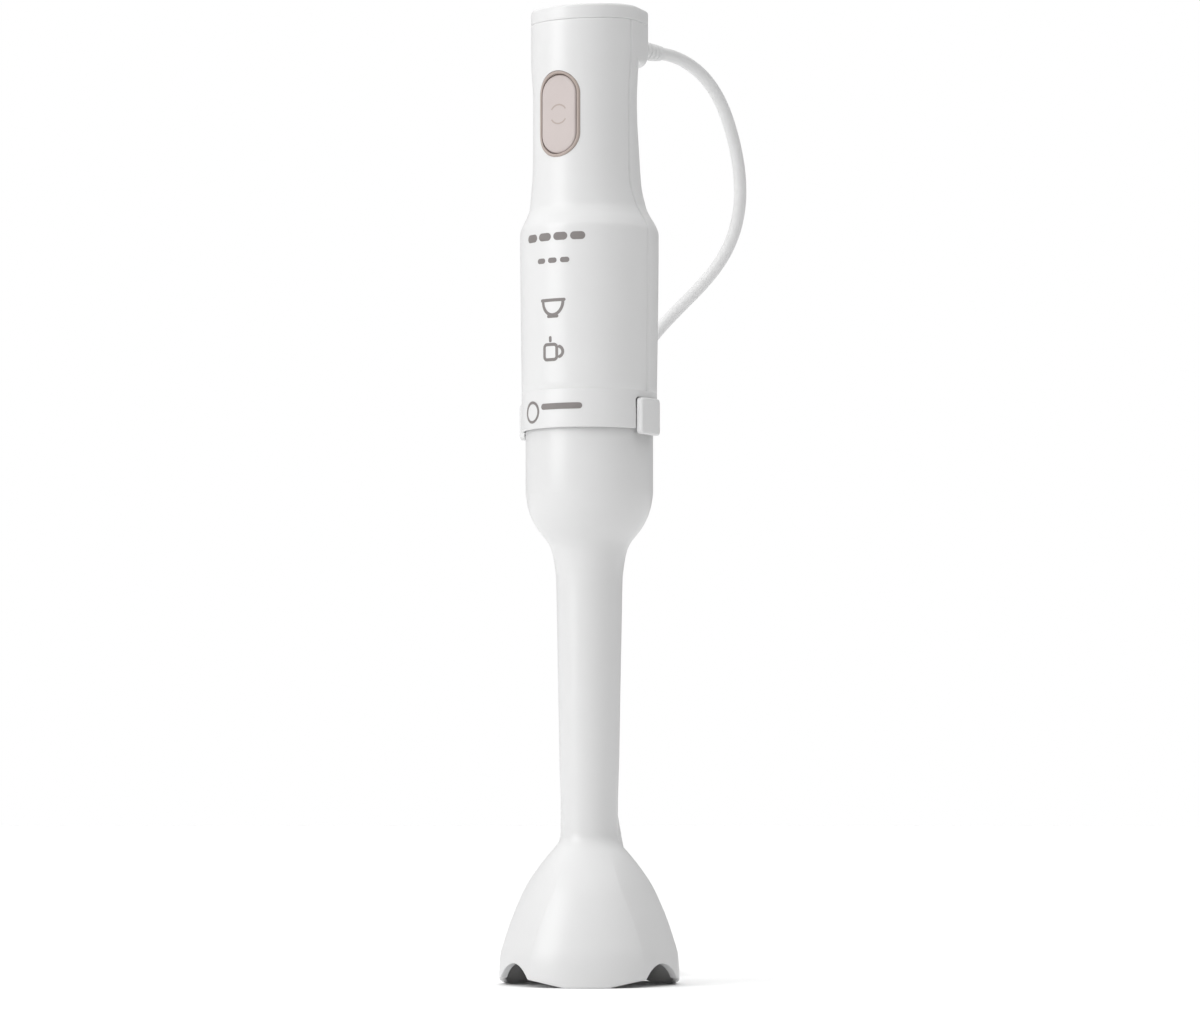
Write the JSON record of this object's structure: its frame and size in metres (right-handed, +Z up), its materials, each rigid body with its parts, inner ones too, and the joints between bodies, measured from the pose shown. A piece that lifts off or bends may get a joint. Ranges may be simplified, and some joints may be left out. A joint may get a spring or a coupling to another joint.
{
  "type": "immersion blender",
  "caption": "Upright immersion blender: motor unit with thumb button and side releases, detachable drive bar with a three-arched bell over a flat blade, mains cord and plug.",
  "frame": {"origin": "on the drive axis, at the plane the bell's rim stands on", "axes": "+Z up along the drive axis; -Y is the front, with the power button; +Y is the back, where the cord leaves; +X is the side of the right release button seen from behind"},
  "size_m": [0.1508, 0.1797, 0.373],
  "materials": {
    "housing_white": "smooth satin-gloss moulded plastic",
    "bar_white": "smooth satin-gloss moulded plastic",
    "button_taupe": "matte soft-touch",
    "button_rim": "matte",
    "inner_plastic": "moulded",
    "coupler_plastic": "moulded",
    "dark_plastic": "moulded",
    "red_plastic": "moulded",
    "tan_plastic": "moulded phenolic",
    "board_green": "coated board",
    "yellow_film": "film capacitor case",
    "zinc_steel": "zinc plated",
    "spring_steel": "drawn wire",
    "ground_steel": "ground",
    "blade_steel": "stamped and polished",
    "lamination_steel": "stacked laminations",
    "ferrite": "sintered ferrite",
    "carbon": "pressed carbon",
    "sintered_bronze": "sintered, oil filled",
    "brass": "rolled",
    "enamelled_copper": "enamelled wire",
    "commutator_copper": "turned copper",
    "seal_rubber": "moulded rubber",
    "cord_white": "flexible vinyl, satin",
    "tie_grey": "moulded",
    "plated_pin": "nickel plated"
  },
  "bodies": {
    "motor_unit": {"front_housing": "housing_white", "rear_housing": "housing_white", "top_cap": "housing_white", "button_frame": "button_rim", "collar_ring": "housing_white", "coupling_socket": "inner_plastic", "housing_screws": "zinc_steel", "power_switch": "dark_plastic", "circuit_board": "board_green", "rectifier": "dark_plastic", "suppressor": "yellow_film", "cord_clamp": "inner_plastic", "clamp_screws": "zinc_steel", "button_spring": "spring_steel", "release_springs": "spring_steel", "motor_plate": "inner_plastic", "motor_screws": "zinc_steel", "motor_can": "zinc_steel", "magnets": "ferrite", "brush_bracket": "tan_plastic", "brush_holders": "brass", "carbon_brushes": "carbon", "upper_bearing": "sintered_bronze", "lower_bearing": "sintered_bronze", "strain_relief": "cord_white", "cord_inner": "cord_white", "cord_lead": "cord_white", "cord_coil": "cord_white", "cord_tail": "cord_white", "cord_tie": "tie_grey", "plug_body": "cord_white", "plug_pins": "plated_pin"},
    "button": {"power_button": "button_taupe"},
    "plunger": {"switch_plunger": "red_plastic"},
    "release_left": {"release_button_left": "housing_white"},
    "release_right": {"release_button_right": "housing_white"},
    "rotor": {"motor_shaft": "ground_steel", "armature_core": "lamination_steel", "armature_windings": "enamelled_copper", "commutator": "commutator_copper", "cooling_fan": "inner_plastic", "drive_coupler": "coupler_plastic"},
    "bar": {"bar_tube": "bar_white", "blade_guard": "bar_white", "upper_bushing": "sintered_bronze", "lower_bushing": "sintered_bronze", "shaft_seal": "seal_rubber"},
    "blade_drive": {"blade_shaft": "ground_steel", "bar_coupler": "coupler_plastic", "retaining_ring": "spring_steel", "blade": "blade_steel", "blade_hub": "coupler_plastic"}
  },
  "joints": [
    {"name": "power_button_press", "type": "slide", "parent": "motor_unit", "child": "button", "axis": [0, 1, 0], "range_m": [0, 0.002], "stiffness_N_per_m": 700, "springref_m": -0.003, "deforming": ["button_spring"]},
    {"name": "switch_plunger_press", "type": "slide", "parent": "motor_unit", "child": "plunger", "axis": [0, 1, 0], "range_m": [0, 0.002]},
    {"name": "release_left_press", "type": "slide", "parent": "motor_unit", "child": "release_left", "axis": [1, 0, 0], "range_m": [0, 0.0016], "stiffness_N_per_m": 900, "springref_m": -0.002, "deforming": ["release_springs"]},
    {"name": "release_right_press", "type": "slide", "parent": "motor_unit", "child": "release_right", "axis": [-1, 0, 0], "range_m": [0, 0.0016], "stiffness_N_per_m": 900, "springref_m": -0.002, "deforming": ["release_springs"]},
    {"name": "motor_spin", "type": "hinge", "parent": "motor_unit", "child": "rotor", "pos_m": [0, 0, 0.25], "axis": [0, 0, 1], "continuous": true},
    {"name": "bar_detach", "type": "slide", "parent": "motor_unit", "child": "bar", "axis": [0, 0, -1], "range_m": [0, 0.045]},
    {"name": "blade_spin", "type": "hinge", "parent": "bar", "child": "blade_drive", "pos_m": [0, 0, 0.1], "axis": [0, 0, 1], "continuous": true}
  ],
  "couplings": [
    {"joint": "switch_plunger_press", "follows": "power_button_press", "ratio": 1},
    {"joint": "blade_spin", "follows": "motor_spin", "ratio": 1}
  ]
}
